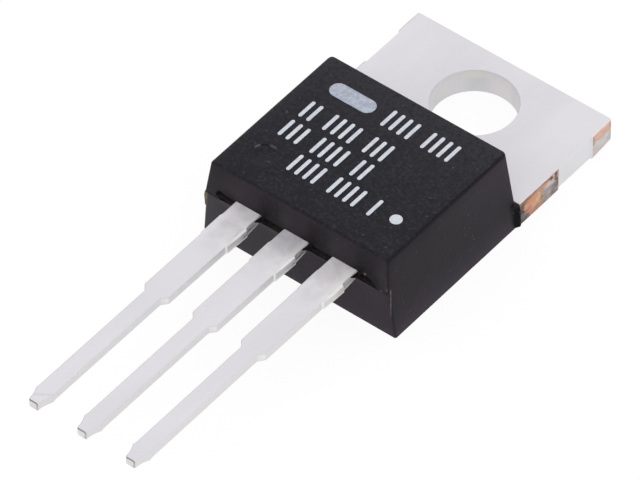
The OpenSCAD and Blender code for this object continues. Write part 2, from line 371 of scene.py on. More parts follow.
def epoxy_front(n, front):
    """The front face, with painted reflection: paler below the mould's joint, most toward the left and
    the bottom, and a little paler above it.
    """
    below = n.remap(n.rise, 0.02, -0.02)
    # painted reflection below the joint, strongest toward the left and the bottom
    left = n.larger(n.remap(n.x, -3.4, -4.4, 0.40, 0.90), n.remap(n.x, 0.2, -1.2, 0.40, 0.75))
    foot = n.remap(n.z, 1.0, 0.2, 0.0, 0.2)
    painted_reflection = n.mix(n.remap(n.x, -1.5, 1.0), (0.045, 0.0385, 0.0470), (0.043, 0.0315, 0.0450))
    n.coat(painted_reflection, front, below, n.plus(left, foot))
    # painted reflection above the joint, strongest just over the slot
    paler = n.both(front, n.remap(n.z, 3.9, LEAD_Z, 0.7, 1.1), n.remap(n.x, -4.3, -3.0, 0.5, 1.0),
                   rise=(0.02, 0.06))
    n.coat((0.027, 0.0215, 0.0265), paler)


def slot_marks_and_shade(n, front):
    """Painted reflection and shade between the leads: darker above the slot and near black in it; paler
    brown under the slot and inside it.
    """
    # 1 at each lead, -1 midway between two
    beat = n.math("COSINE", n.times(n.plus(n.x, 0.16), math.tau / LEAD_PITCH))
    # painted reflection: the face above the slot darker between the leads
    between_lead_shade = n.both(front, n.remap(beat, 0.3, -0.7), n.remap(n.z, 4.15, 3.2, 0.25, 0.9),
                     rise=(0.02, 0.06), x=(-2.6, -2.2))
    n.coat((0.0020, 0.0016, 0.0018), between_lead_shade)
    between_leads = n.remap(beat, 0.9, -0.1)
    # painted shade: the slot near black between the leads
    lip = n.both(front, between_leads, z=(LEAD_Z, LEAD_Z + 0.05, LEAD_TOP + 0.02, LEAD_TOP + 0.40),
                 x=(-4.2, -3.8))
    n.coat((0.0004, 0.0004, 0.0004), lip)
    rubbed = n.both(front, between_leads, n.remap(n.x, -2.6, -2.2, 0, 0.45),
                    rise=(-0.22, -0.03, 0, 0.04))
    n.coat((0.052, 0.043, 0.034), rubbed)
    inside = n.both(n.remap(n.size(n.x), 4.8, 4.7), ahead=(-0.05, -0.09, -0.36, -0.4),
                    z=(LEAD_Z - 0.02, LEAD_Z, LEAD_TOP, LEAD_TOP + 0.02))
    n.coat((0.042, 0.036, 0.033), inside)


def corner_marks(n, front):
    """Thin resin browning both front corners, pale specks, and a painted highlight: a pale line down the
    right one.
    """
    draft = n.times(n.z, (BODY_BASE_W - BODY_TOP_W) / BODY_H / 2)
    inside = n.minus(BODY_BASE_W / 2, n.plus(n.size(n.x), draft))
    below = n.remap(n.rise, 0.04, 0)
    left = n.both(n.remap(inside, 0.20, 0.06), below, 0.85, x=(0, -1), z=(1.2, 1.9),
                  ahead=(-0.45, -0.25))
    n.coat((0.088, 0.060, 0.036), left)
    right = n.both(front, n.spot(n.x, n.rise, (4.70, 0.02), (0.20, 0.16)))
    n.coat((0.020, 0.016, 0.0085), right)
    lip = n.both(front, below, 0.6, x=(3.2, 3.4), rise=(-0.14, -0.05))
    n.coat((0.036, 0.029, 0.018), lip)
    pale = n.both(front, n.spot(n.x, n.rise, (4.76, 0.24), (0.05, 0.06)))
    n.coat((0.085, 0.078, 0.066), pale)
    speck = n.both(front, n.spot(n.x, n.z, (3.60, LEAD_TOP + 0.05), (0.05, 0.05)))
    n.coat((0.15, 0.14, 0.12), speck)
    # painted highlight: a line that crosses from the side to the front as it comes down
    along, _ = diagonal(n, n.x, n.y)
    edge_wear_and_highlight = n.both(n.close_to(along, -3.705, 0.042, 0.018),
                  n.remap(n.noise(3), 0.38, 0.60, 0.25, 0.8), x=(4, 4.5),
                  z=(1.1, 1.6, LEAD_Z + 0.10, LEAD_Z + 0.22))
    n.coat((0.13, 0.12, 0.13), edge_wear_and_highlight)


def ejector_painted_light(n, top):
    """Painted light on the round mark's far edge: painted shade in the middle, painted highlights at
    both sides of that.
    """
    across = n.minus(n.x, EJECTOR_X)
    up = n.minus(n.y, FRONT_Y + EJECTOR_IN)
    side, far = diagonal(n, across, up, 0.77, 0.63)
    reach = n.plus(n.times(across, across), n.times(up, up))
    rim = n.both(top, n.remap(far, 0, 0.1), n.band(reach, 0.35, 0.40, 0.47, 0.52))
    dark = n.both(rim, n.close_to(side, 0.05, 0.19, 0.13), 0.9)
    n.coat((0.0008, 0.0006, 0.0010), dark)
    pale = n.larger(n.close_to(side, -0.27, 0.15, 0.08),
                    n.times(n.close_to(side, 0.38, 0.19, 0.08), 0.75))
    n.coat((0.072, 0.070, 0.076), rim, pale)


def epoxy_grain(n, grain, top):
    """Light and dark grain, stronger on the top, and a few pale specks."""
    strong = n.remap(top, 0, 1, 0.35, 0.9)
    n.coat((0.029, 0.027, 0.035), n.remap(grain, 0.50, 0.72), strong)
    n.coat((0.0015, 0.0012, 0.0020), n.remap(grain, 0.50, 0.30), strong)
    specks = n.remap(n.noise(6, detail=1), 0.72, 0.80, 0, 0.5)
    n.coat((0.10, 0.095, 0.095), specks)


def flash_material():
    """Resin squeezed so thin at the mould's joint that it looks golden brown."""
    return plain_material("thin_flash", 5, tone(82, 66, 52), tone(118, 103, 86), (0.4, 0.6), 0.006,
                          Specular_IOR_Level=0.3)


def ink_material():
    """Thin pale ink, a little uneven, and duller on the plain bar."""
    n = Nodes("marking_ink")
    patch = n.noise(6, detail=3, rough=0.65)
    n.colour = n.blend(patch, tone(192, 196, 208), tone(214, 218, 226), 0.3, 0.62)
    duller = n.blend(patch, tone(156, 161, 178), tone(182, 187, 202), 0.35, 0.62)
    bar = n.spot(n.x, n.y, (-2.3, -5.27), (1.5, 0.8), soft=0.05)
    n.coat(duller, bar)
    return n.finish(patch, (0.5, 0.7), 0.004, Specular_IOR_Level=0.3)


# The metal's materials

TIN_METALLIC = 0.45
DRAWN_OUT = (1, 0.35, 1)


def tin_base(n):
    """Lays on satin tin plate, drawn out along Y, and returns its roughness and normal."""
    cloud = n.noise(0.5, detail=3, stretch=DRAWN_OUT)
    fine = n.noise(9, detail=3, rough=0.65)
    n.colour = n.blend(cloud, (0.685, 0.67, 0.705), (0.745, 0.73, 0.77), 0.32, 0.68)
    n.coat((0.58, 0.575, 0.60), n.remap(fine, 0.62, 0.85, 0, 0.35))
    roughness = n.remap(n.plus(fine, cloud), 0.7, 1.3, 0.42, 0.56)
    normal = n.bump(n.noise(1.1, stretch=DRAWN_OUT), 0.004, n.bump(fine, 0.0022))
    return roughness, normal


def tin_material():
    """Tin plate: matt and mottled where the leads leave the body, with a paler copy painted on faces
    that look sideways as painted light.
    """
    n = Nodes("tinned_copper")
    roughness, normal = tin_base(n)
    top, side = n.facing("Z"), n.facing("X")
    # place across the nearest lead
    across = n.add("ShaderNodeMath", {0: n.x, 1: LEAD_PITCH / 2, 2: -LEAD_PITCH / 2},
                   operation="WRAP").outputs[0]
    on_lead = n.remap(n.z, 1.8, 2.2)
    # painted light: faces that look sideways get paler tin, palest on the leads beside the body
    past_stub = n.remap(n.ahead, 1.5, 2.2)
    painted_side_tone = n.mix(past_stub, (0.89, 0.88, 0.87), (0.80, 0.79, 0.79))
    n.coat(n.mix(on_lead, (0.84, 0.83, 0.845), painted_side_tone), n.times(side, 0.8))
    root = n.both(top, on_lead, ahead=(3.2, 1.3))
    n.coat(lead_root_tone(n, across), root)
    # painted shade: a dark line for a crease across the leads near their tips, strongest on the left
    # lead
    crease_shade = n.close_to(n.minus(n.y, n.times(across, 0.67)), TIP_Y + 0.46, 0.10, 0.0)
    crease_shade = n.both(top, crease_shade, n.remap(n.x, -1, -2, 0.06, 0.4))
    n.coat((0.50, 0.49, 0.53), crease_shade)
    tab_edge_tones(n)
    lead_edge_tones(n, on_lead)
    # painted highlights: the stubs' burrs, lines along the leads' tops and the last lead's side
    burr = n.larger(stub_burr_highlights(n, across), painted_lead_highlights(n, across, side))
    n.coat((0.96, 0.95, 0.93), burr)
    n.coat(tone(112, 108, 108), torn_line(n, across))
    dull = n.remap(n.larger(root, burr), 0, 1, 0, 0.4)
    metallic = n.minus(n.remap(top, 0, 1, 0.75, TIN_METALLIC), dull)
    roughness = n.larger(roughness, n.remap(root, 0, 1, 0, 0.6))
    return n.surface(Metallic=n.larger(metallic, 0.1), Roughness=roughness, Normal=normal)


def tab_edge_tones(n):
    """Pink beside the bared lengths, thinned tin with a painted highlight, and painted shade: a grey
    line down the left and far edges.
    """
    far_end = TAB_END_Y - SHEAR_FAR
    far = n.both(z=(TAB_T - 0.04, TAB_T - 0.02), y=(far_end - 0.02, far_end + 0.02))
    near = n.close_to(n.y, BACK_Y + SHEAR_NEAR + 0.06, 0.10, 0.05)
    # tin thinned to show copper, painted paler as a highlight
    edge_wear_and_highlight = n.both(n.remap(n.x, TAB_W / 2 - 0.13, TAB_W / 2 - 0.07, 0, 0.8), n.larger(far, near),
                  z=(TAB_T + 0.04, TAB_T + 0.02))
    n.coat(tone(242, 220, 214), edge_wear_and_highlight)
    # painted shade along the left and far edges
    left = n.remap(n.x, 0.05 - TAB_W / 2, 0.02 - TAB_W / 2)
    end = n.both(y=(TAB_END_Y - 0.06, TAB_END_Y - 0.03), x=(-2.2, -4.0))
    outline = n.both(n.larger(left, end), 0.8, z=(TAB_T - 0.1, TAB_T - 0.06, 1.5, 1.6))
    n.coat(tone(204, 203, 202), outline)


def lead_edge_tones(n, on_lead):
    """Painted shade on the leads' left-facing rolled edges, and painted highlights on the faces of their
    shoulders.
    """
    normal = n.parts(n.normal)
    # painted shade on faces turned to the left, painted highlight on shoulder faces turned to the front
    rolled = n.both(n.remap(normal["X"], -0.12, -0.45, 0, 0.8), on_lead)
    n.coat(tone(196, 195, 198), rolled)
    shoulder = n.both(n.remap(normal["Y"], -0.4, -0.65, 0, 0.8), on_lead, y=(TIP_Y + 3, TIP_Y + 4))
    n.coat((0.96, 0.95, 0.95), shoulder)


def stub_burr_highlights(n, across):
    """Painted highlights on the burr along the lower edge of each cut tie bar, and on its end."""
    stub_end = FRONT_Y - STUB_AT - STUB_LEN
    stub = n.both(n.remap(across, LEAD_W / 2 - 0.02, LEAD_W / 2),
                  y=(stub_end - 0.08, stub_end - 0.05, FRONT_Y - 0.3, FRONT_Y - 0.2))
    low = n.band(n.rise, -0.1, -0.05, 0.06, 0.10)
    start = n.spot(n.ahead, n.rise, (STUB_SPLIT + 0.02, 0.05), (0.07, 0.12))
    end = n.both(n.facing("Y", -1), ahead=(1.8, 2.1))
    return n.both(stub, n.larger(low, n.larger(start, end)))


def torn_line(n, across):
    """A dark hair line near the body, where the tie bars were torn off, faint on the last lead."""
    height = n.remap(n.noise(4), 0.3, 0.7, 0.10, 0.20)
    return n.both(n.close_to(n.rise, height, 0.045, 0.02),
                  n.remap(across, LEAD_W / 2 - 0.02, LEAD_W / 2),
                  n.remap(n.ahead, 1.5, 1.0, 0, 0.8),
                  n.remap(n.x, 1.5, 1.8, 1, 0.25), ahead=(0.25, 0.35))


def painted_lead_highlights(n, across, side):
    """Painted highlights: a brighter line along each lead's top over its stub, and the last lead's side
    beside the body.
    """
    line = n.both(n.remap(across, LEAD_W / 2 - 0.03, LEAD_W / 2 + 0.02),
                  n.remap(n.ahead, 2.0, 1.7, 0, 0.6),
                  z=(LEAD_TOP - 0.07, LEAD_TOP - 0.03),
                  y=(FRONT_Y - STUB_SPLIT + 0.06, FRONT_Y - STUB_SPLIT))
    # painted highlight on the last lead's side beside the body
    clear = n.both(side, n.remap(n.ahead, 1.1, 0.7, 0, 0.3),
                   x=(LEAD_PITCH, LEAD_PITCH + 0.5), z=(1.8, 2.2))
    return n.larger(line, clear)


def lead_root_tone(n, across):
    """Mottled plating beside the body, with a warm, scratched strip along each right edge."""
    mottle = n.noise(1.8, rough=0.45, distortion=0.3)
    colour = n.blend(mottle, tone(207, 203, 207), tone(222, 219, 224))
    dull = n.both(n.spot(n.x, n.ahead, (0.05, 0.45), (0.85, 0.75), soft=0.95),
                  n.remap(mottle, 0.66, 0.36, 0.45, 0.8))
    colour = n.mix(dull, colour, tone(180, 178, 183))
    left = n.remap(n.x, -LEAD_PITCH - 0.25, -LEAD_PITCH - 0.5, 0, 0.5)
    colour = n.mix(left, colour, tone(234, 230, 235))
    edge = n.remap(across, 0.28, 0.55)
    warm = n.times(edge, n.remap(n.x, -2, 3.2, 0.15, 0.55))
    colour = n.mix(warm, colour, tone(240, 235, 233))
    scratch = n.noise(9, detail=1, stretch=(1.0, 0.3, 1), distortion=1.2)
    line = n.both(edge, n.remap(scratch, 0.55, 0.62), 0.3, ahead=(2.0, 1.6, 0.8, 0.5))
    return n.mix(line, colour, tone(178, 174, 174))


def lay_patches(n, along, level, patches, soft=0.5, strength=1.0):
    """Lays ovals of colour on a face one after another: middle, reach both ways, colour."""
    for centre, reach, patch in patches:
        n.coat(patch, n.spot(along, level, centre, reach, soft), strength)


# Patches of colour on the bared edges, in the order they are laid on: place along the edge
# and height of the middle, reach both ways, colour
FAR_PATCHES = (
    ((2.15, 1.00), (0.80, 0.30), tone(216, 180, 164)),
    ((2.45, 0.92), (0.16, 0.18), tone(217, 176, 152)),
    ((2.05, 1.04), (0.14, 0.14), tone(224, 184, 168)),
    ((1.52, 0.95), (0.07, 0.30), tone(176, 156, 142)),
    ((2.66, 1.12), (0.10, 0.16), tone(160, 128, 114)),
    ((1.75, 0.70), (0.26, 0.12), tone(208, 208, 206)),
    ((2.10, 0.58), (0.30, 0.16), tone(204, 208, 211)),
    ((2.48, 0.62), (0.20, 0.20), tone(204, 209, 213)),
    ((2.68, 0.45), (0.09, 0.36), tone(158, 162, 166)),
)
NEAR_PATCHES = (
    ((-3.30, 1.10), (0.50, 0.20), tone(152, 106, 78)),
    ((-3.44, 0.96), (0.24, 0.30), tone(112, 84, 70)),
    ((-2.75, 1.14), (0.35, 0.10), tone(172, 116, 98)),
    ((-2.70, 0.74), (0.44, 0.34), tone(214, 154, 114)),
    ((-2.95, 0.48), (0.22, 0.26), tone(202, 134, 114)),
    ((-2.25, 0.72), (0.16, 0.28), tone(216, 176, 142)),
    ((-2.02, 0.50), (0.06, 0.26), tone(150, 134, 106)),
    ((-2.35, 0.12), (0.50, 0.18), tone(182, 130, 116)),
    ((-1.50, 0.84), (0.36, 0.17), tone(206, 200, 192)),
    ((-1.78, 1.14), (0.22, 0.17), tone(202, 142, 120)),
    ((-1.38, 1.08), (0.14, 0.12), tone(116, 74, 56)),
    ((-1.20, 1.10), (0.08, 0.12), tone(220, 180, 160)),
    ((-1.04, 0.95), (0.09, 0.26), tone(112, 84, 76)),
    ((-1.02, 0.50), (0.10, 0.30), tone(112, 106, 98)),
    ((-1.20, 0.30), (0.24, 0.34), tone(122, 110, 110)),
)
# The same on the hole's far wall, from its left end to its right end
HOLE_STAINS = (
    ((0.20, 0.40), (0.55, 0.50), (0.58, 0.60, 0.62)),
    ((1.20, 0.60), (0.50, 0.50), (0.74, 0.66, 0.67)),
    ((0.05, 1.12), (0.50, 0.26), (0.75, 0.75, 0.66)),
    ((-1.50, 0.30), (0.60, 0.30), (0.68, 0.70, 0.67)),
    ((1.80, 0.50), (0.20, 0.70), (0.62, 0.63, 0.64)),
)


def sheared_copper_material():
    """Copper bared where the strip was sheared, with tin smeared across part of it."""
    n = Nodes("sheared_copper")
    smear = n.noise(2.2, detail=3, rough=0.55, distortion=0.4)
    streak = n.noise(5, detail=3, rough=0.6, stretch=(1, 0.5, 1.6), distortion=0.3)
    # place along the edge and height, each shifted a little
    along = n.plus(n.y, n.remap(smear, 0.2, 0.8, -0.16, 0.16))
    level = n.plus(n.z, n.remap(n.noise(2.8), 0.2, 0.8, -0.12, 0.12))
    n.colour = n.blend(streak, tone(205, 193, 191), tone(219, 208, 206))
    lay_patches(n, along, level, FAR_PATCHES)
    far = n.colour
    n.colour = n.mix(n.remap(along, -2.05, -1.85), tone(190, 150, 122), tone(164, 153, 154))
    lay_patches(n, along, level, NEAR_PATCHES)
    shade_near_length(n, along, level)
    n.coat(far, y=(-0.1, 0.1))
    n.coat(tone(96, 74, 66), n.remap(streak, 0.52, 0.75, 0, 0.45))
    n.coat(tone(232, 206, 190), n.remap(streak, 0.48, 0.28, 0, 0.35))
    return n.finish(streak, (0.36, 0.52), 0.01, Metallic=0.6)


def shade_near_length(n, along, level):
    """Below a slanting line the near length is dark, and silvery at its foot."""
    silver = n.blend(n.noise(7), tone(64, 60, 63), tone(122, 118, 123), 0.42, 0.6)
    shaded = n.mix(n.remap(level, 0.50, 0.66), silver, tone(58, 42, 36))
    shaded = n.mix(n.remap(level, 0.14, 0.04), shaded, tone(56, 50, 52))
    slant = n.plus(along, n.times(level, 0.78))
    n.coat(shaded, n.remap(slant, -2.72, -2.80))
    n.coat(tone(126, 106, 100), 0.7, z=(TAB_T - 0.14, TAB_T - 0.06), y=(-1.4, -1.6))


def bare_edge_highlight_material():
    """The rolled edge over a sheared length: thinned tin with copper showing pink, painted paler as a
    highlight.
    """
    return plain_material("bare_edge", 3, tone(228, 204, 198), tone(240, 224, 220), (0.4, 0.55),
                          0.004, Metallic=0.5)


def hole_wall_material():
    """The punched hole's wall: burnished, plated, with faint upright streaks and stains."""
    n = Nodes("hole_wall")
    streak = n.noise(2.2, detail=3, stretch=(1, 1, 0.15))
    n.colour = n.blend(streak, (0.67, 0.655, 0.67), (0.75, 0.735, 0.75), 0.3, 0.7)
    round_wall, _ = diagonal(n, n.x, n.y)
    lay_patches(n, round_wall, n.z, HOLE_STAINS, soft=0.95, strength=0.6)
    return n.finish(streak, (0.34, 0.46), 0.004, Metallic=1.0)


def cut_end_material():
    """Lead tips and tie-bar stubs cut after plating: pale metal with a brown cast."""
    return plain_material("cut_end", 8, (0.73, 0.70, 0.68), (0.86, 0.84, 0.83), (0.3, 0.45), 0.006,
                          stretch=(0.4, 1, 1), Metallic=1.0)


def cut_rim_material():
    """The dark rim of a cut lead tip, browner and paler down its sides."""
    n = Nodes("cut_rim")
    patch = n.noise(9)
    upper = n.blend(patch, (0.27, 0.26, 0.255), (0.38, 0.37, 0.37))
    lower = n.blend(patch, (0.52, 0.48, 0.45), (0.64, 0.61, 0.59))
    n.colour = n.mix(n.remap(n.z, LEAD_TOP - 0.08, LEAD_TOP - 0.22), upper, lower)
    return n.finish(patch, (0.4, 0.6), 0.004, Metallic=0.6)


def hidden_material(name, per_mm, dark, light, roughness, metallic):
    """A piece sealed in the body."""
    return plain_material(name, per_mm, dark, light, roughness, 0.003, Metallic=metallic)


# Mesh code


def settle(bm):
    """Welds corners that lie on each other and turns all faces outward."""
    bmesh.ops.remove_doubles(bm, verts=bm.verts, dist=1e-4)
    bmesh.ops.recalc_face_normals(bm, faces=bm.faces)


def to_mesh(name, bm):
    mesh = bpy.data.meshes.new(name)
    bm.to_mesh(mesh)
    bm.free()
    return mesh


def new_piece(name, bm, materials, sharp_angle=20):
    """Makes an object of a mesh in millimetres, smooth but for its sharp edges."""
    settle(bm)
    mesh = to_mesh(name, bm)
    mesh.transform(Matrix.Scale(MM, 4))
    for material in materials:
        mesh.materials.append(material)
    mesh.shade_smooth()
    mesh.set_sharp_from_angle(angle=math.radians(sharp_angle))
    piece = show(name, mesh)
    weights = piece.modifiers.new("weighted_normals", "WEIGHTED_NORMAL")
    weights.keep_sharp = True
    weights.weight = 80
    return piece


def between(a, b, t):
    return a + (b - a) * t


def ring(bm, points):
    return [bm.verts.new(p) for p in points]


def at_height(points, z):
    return [(x, y, z) for x, y in points]


def bridge(bm, rings):
    """Side faces from each ring to the next."""
    for a, b in zip(rings, rings[1:]):
        for i in range(len(a)):
            j = (i + 1) % len(a)
            bm.faces.new((a[i], a[j], b[j], b[i]))


def fill(bm, *rings):
    """A flat face inside the first ring, with the other rings as holes in it."""
    edges = [bm.edges.get((r[i], r[(i + 1) % len(r)])) for r in rings for i in range(len(r))]
    bmesh.ops.triangle_fill(bm, use_beauty=True, use_dissolve=False, edges=edges)


def offset_outline(points, inset):
    """A closed outline moved inward by inset, for an outline that runs anticlockwise."""
    moved = []
    count = len(points)
    for i, (x, y) in enumerate(points):
        ax, ay = points[i - 1]
        bx, by = points[(i + 1) % count]
        before = Vector((x - ax, y - ay)).normalized()
        after = Vector((bx - x, by - y)).normalized()
        normal = Vector((-before.y - after.y, before.x + after.x))
        if normal.length < 1e-6:
            moved.append((x, y))
            continue
        normal.normalize()
        cosine = max(0.35, normal.dot(Vector((-after.y, after.x))))
        moved.append((x + normal.x * inset / cosine, y + normal.y * inset / cosine))
    return moved


def arc(centre, radius, start, end, steps):
    """Points on an arc, angles in degrees, both ends included."""
    return [(centre[0] + radius * math.cos(math.radians(start + (end - start) * k / steps)),
             centre[1] + radius * math.sin(math.radians(start + (end - start) * k / steps)))
            for k in range(steps + 1)]


def edge_levels(low, high, low_r, high_r, steps=3):
    """(z, inset) pairs from the bottom edge to the top edge, both rounded."""
    turns = [math.radians(90) * k / steps for k in range(steps + 1)]
    levels = [(low + low_r * (1 - math.cos(t)), low_r * (1 - math.sin(t))) for t in turns]
    return levels + [(high - high_r * (1 - math.sin(t)), high_r * (1 - math.cos(t)))
                     for t in turns]


def boolean(piece_bm, cutter_bm, operation):
    """The exact boolean of two meshes, as a new bmesh."""
    objects = []
    for name, bm in (("kept", piece_bm), ("cutter", cutter_bm)):
        settle(bm)
        objects.append(show(name, to_mesh(name, bm)))
    kept, cutter = objects
    modifier = kept.modifiers.new("boolean", "BOOLEAN")
    modifier.operation = operation
    modifier.solver = "EXACT"
    modifier.object = cutter
    depsgraph = bpy.context.evaluated_depsgraph_get()
    result = bmesh.new()
    result.from_mesh(kept.evaluated_get(depsgraph).to_mesh())
    for item in objects:
        mesh = item.data
        bpy.data.objects.remove(item)
        bpy.data.meshes.remove(mesh)
    return result


def skin(sections):
    """A closed mesh through a row of sections, each a list of (x, y, z)."""
    bm = bmesh.new()
    rings = [ring(bm, points) for points in sections]
    bridge(bm, rings)
    fill(bm, rings[0])
    fill(bm, rings[-1])
    return bm


def drum(centre, radius, low, high, steps):
    bm = bmesh.new()
    circle = arc(centre, radius, 0, 360, steps)[:-1]
    rings = [ring(bm, at_height(circle, z)) for z in (low, high)]
    bridge(bm, rings)
    bm.faces.new(rings[0][::-1])
    bm.faces.new(rings[1])
    return bm


# The moulded body

CORNER_STEPS = 5
SIDE_STEPS = 22
LEAST_R = 0.03


def body_limits(z):
    """Half width, front and tab-side places of the drafted body at a height."""
    half = between(BODY_BASE_W, BODY_TOP_W, z / BODY_H) / 2
    if z < LEAD_Z:
        front = between(FRONT_Y + FRONT_BASE_IN, FRONT_Y + FRONT_LOWER_IN, z / LEAD_Z)
    else:
        front = between(FRONT_Y, FRONT_Y + FRONT_TOP_IN, (z - LEAD_Z) / (BODY_H - LEAD_Z))
    back = BACK_Y
    if z > TAB_T:
        back = between(BACK_Y, BACK_Y - BACK_TOP_IN, (z - TAB_T) / (BODY_H - TAB_T))
    return half, front, back


def body_outline(half, front, back, radius, back_radius):
    """A rectangle with rounded corners, its straight sides in steps."""
    turns = []
    for right, rear, r, start in ((1, 0, radius, -90), (1, 1, back_radius, 0),
                                  (-1, 1, back_radius, 90), (-1, 0, radius, 180)):
        centre = (right * (half - r), back - r if rear else front + r)
        turns.append(arc(centre, r, start, start + 90, CORNER_STEPS))
    points = []
    for turn, following in zip(turns, turns[1:] + turns[:1]):
        points += turn
        (x0, y0), (x1, y1) = turn[-1], following[0]
        points += [(between(x0, x1, k / SIDE_STEPS), between(y0, y1, k / SIDE_STEPS))
                   for k in range(1, SIDE_STEPS)]
    return points


def body_ring(z, inset, step):
    """One level of the body, a little uneven, with its front moved out by a step."""
    half, front, back = body_limits(z)
    half, front, back = half - inset, front + inset, back - inset
    radius = max(LEAST_R, BODY_CORNER_R - inset)
    back_radius = max(LEAST_R, BODY_BACK_CORNER_R - inset)
    made = []
    for x, y in body_outline(half, front, back, radius, back_radius):
        out = Vector((x, y - (front + back) / 2)).normalized()
        uneven = 0.004 * noise.noise(Vector((x, y, z)) * 0.8)
        ahead = step * (0.55 + 0.9 * noise.noise(Vector((x * 1.7, y * 1.7, 3.0))))
        if y > front + radius / 2:
            ahead = 0
        if x < 0 and z < LEAD_Z - 0.02:
            x *= 1 - LOWER_SHIFT / half
        made.append((x + out.x * uneven, y + out.y * uneven - ahead, z))
    return made


def body_mesh():
    bm = bmesh.new()
    levels = [(z, inset, 0.0) for z, inset in
              edge_levels(0, BODY_H, BASE_EDGE_R, BODY_EDGE_R, steps=4)]
    middle = len(levels) // 2
    below = [(z, 0.0, 0.0) for z in (0.5, 0.9, TAB_T, 1.7, 2.1)]
    joint = [(LEAD_Z - 0.03, 0.0, 0.0), (LEAD_Z - 0.012, 0.0, STEP_OUT),
             (LEAD_Z + 0.012, 0.0, STEP_OUT), (LEAD_Z + 0.03, 0.0, 0.0)]
    levels[middle:middle] = below + joint + [(z, 0.0, 0.0) for z in (3.0, 3.5)]
    rings = [ring(bm, body_ring(*level)) for level in levels]
    bridge(bm, rings)
    bm.faces.new(rings[0][::-1])
    bm.faces.new(rings[-1])
    return bm


# Places from the body's side to the flash's thin end: distance from the body, inner and outer
# distance from the tab's edge, height
FOOT_STATIONS = ((-0.66, -1, -0.30, 1.22), (-0.44, -1, -0.16, TAB_T), (-0.26, -1, -0.06, TAB_T),
                 (-0.17, -1, -0.01, TAB_T), (-0.10, -1, 0.03, TAB_T), (-0.06, -1, 0.055, TAB_T),
                 (-0.03, -0.02, 0.06, 1.0), (0.01, -0.02, 0.055, 0.72), (0.04, -0.02, 0.05, 0.42),
                 (0.07, -0.02, 0.035, 0.20), (0.10, -0.02, 0.01, 0.05))


def foot_mesh(side):
    """The foot beside the body's corner and the skin of plastic that crept onto the tab's edge."""
    sections = []
    for back, inner, outer, height in FOOT_STATIONS:
        y, inner, outer = BACK_Y + back, TAB_W / 2 + inner, TAB_W / 2 + outer
        edge = min(0.02, height / 3)
        section = [(inner, 0.0), (outer - 0.02, 0.0), (outer, edge)]
        for part in (0.25, 0.5, 0.75):
            bulge = 0.02 * noise.noise(Vector((side * 9, y * 5, height * part * 5)))
            section.append((outer + bulge, between(edge, height - edge, part)))
        section += [(outer, height - edge), (outer - 0.02, height), (inner, height)]
        sections.append([(side * x, y, z) for x, z in section])
    return skin(sections)


def corner_flash(low, high, reach):
    """A thin fin of resin on the body's left front corner, just under the mould's joint."""
    sections = []
    profile = (0.02, 0.15, 0.35, 0.6, 0.85, 1.0, 0.9, 0.5)
    for k, part in enumerate(profile):
        z = between(low, high, k / (len(profile) - 1))
        half, front, _ = body_limits(z)
        half -= LOWER_SHIFT
        front = max(front, FRONT_Y + FRONT_LOWER_IN)
        tip = (-half - 0.7 * reach * part, front - 0.55 * reach * part, z)
        sections.append([(-half + 0.2, front + 0.03, z), tip, (-half + 0.03, front + 0.2, z)])
    return skin(sections)


def lead_side_skin(centre_x, reach):
    """A thin black sheet of the body's compound along a lead's right side, mostly along its upper half.
    """
    sections = []
    inner = centre_x + LEAD_W / 2 - 0.12
    for k in range(8):
        ahead = between(-SLOT_DEPTH + 0.02, reach, k / 7)
        uneven = noise.noise(Vector((centre_x, ahead * 6, 2.0)))
        out = centre_x + LEAD_W / 2 + 0.035 + 0.015 * uneven
        low = LEAD_Z + 0.01 + 0.8 * LEAD_T * max(0, min(1, ahead / reach + 0.12 * uneven))
        top = max(low + 0.03, LEAD_TOP - 0.035)
        y = FRONT_Y - ahead
        sections.append([(inner, y, low), (out, y, low), (out, y, between(low, top, 0.7)),
                         (inner + 0.08, y, top), (inner, y, top)])
    return skin(sections)


def slot_cutter():
    """The slot between the leads, which thins out toward both of its ends."""
    outline = [(-4.27, LEAD_Z + 0.18), (-3.95, LEAD_Z + 0.001), (4.15, LEAD_Z + 0.001),
               (4.22, LEAD_Z + 0.06), (4.02, LEAD_TOP - 0.12), (3.75, LEAD_TOP - 0.02),
               (-3.75, LEAD_TOP), (-4.00, LEAD_TOP + 0.06), (-4.18, LEAD_TOP + 0.02)]
    return skin([[(x, y, z) for x, z in outline] for y in (FRONT_Y - 1, FRONT_Y + SLOT_DEPTH)])


def ejector_cutter():
    """A shallow round mark, sunk more on its tab side than on its front side."""
    sections = []
    for radius, height in ((EJECTOR_D / 2 - 0.07, -EJECTOR_DEPTH), (EJECTOR_D / 2, 0.0),
                           (EJECTOR_D / 2 + 0.1, 0.2)):
        level = []
        for x, y in arc((0, 0), radius, 0, 360, 48)[:-1]:
            tilt = -EJECTOR_DEPTH * y / EJECTOR_D if height < 0 else 0
            level.append((EJECTOR_X + x, FRONT_Y + EJECTOR_IN + y, BODY_H + height + tilt))
        sections.append(level)
    return skin(sections)


def make_body(materials):
    bm = body_mesh()
    for side in (-1, 1):
        bm = boolean(bm, foot_mesh(side), "UNION")
    bm = boolean(bm, slot_cutter(), "DIFFERENCE")
    bm = boolean(bm, ejector_cutter(), "DIFFERENCE")
    pocket = skin([at_height(plate_outline(PLATE_BASE_W / 2), z) for z in (-1, PLATE_STEP)])
    bm = boolean(bm, pocket, "DIFFERENCE")
    for centre_x, reach in SKIN_REACH.items():
        bm = boolean(bm, lead_side_skin(centre_x, reach), "UNION")
    fin = corner_flash(FIN_LOW, LEAD_Z + 0.02, FIN_REACH)
    for face in fin.faces:
        face.material_index = 1
    bm = boolean(bm, fin, "UNION")
    piece = new_piece("moulded_body_finish", bm, materials, sharp_angle=35)
    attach(piece, "root")
    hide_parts("moulded_body")


# The tab, the plate under the body and the middle lead

TIN, COPPER, BARE_EDGE_HIGHLIGHT, HOLE_WALL, CUT_END, CUT_RIM = range(6)


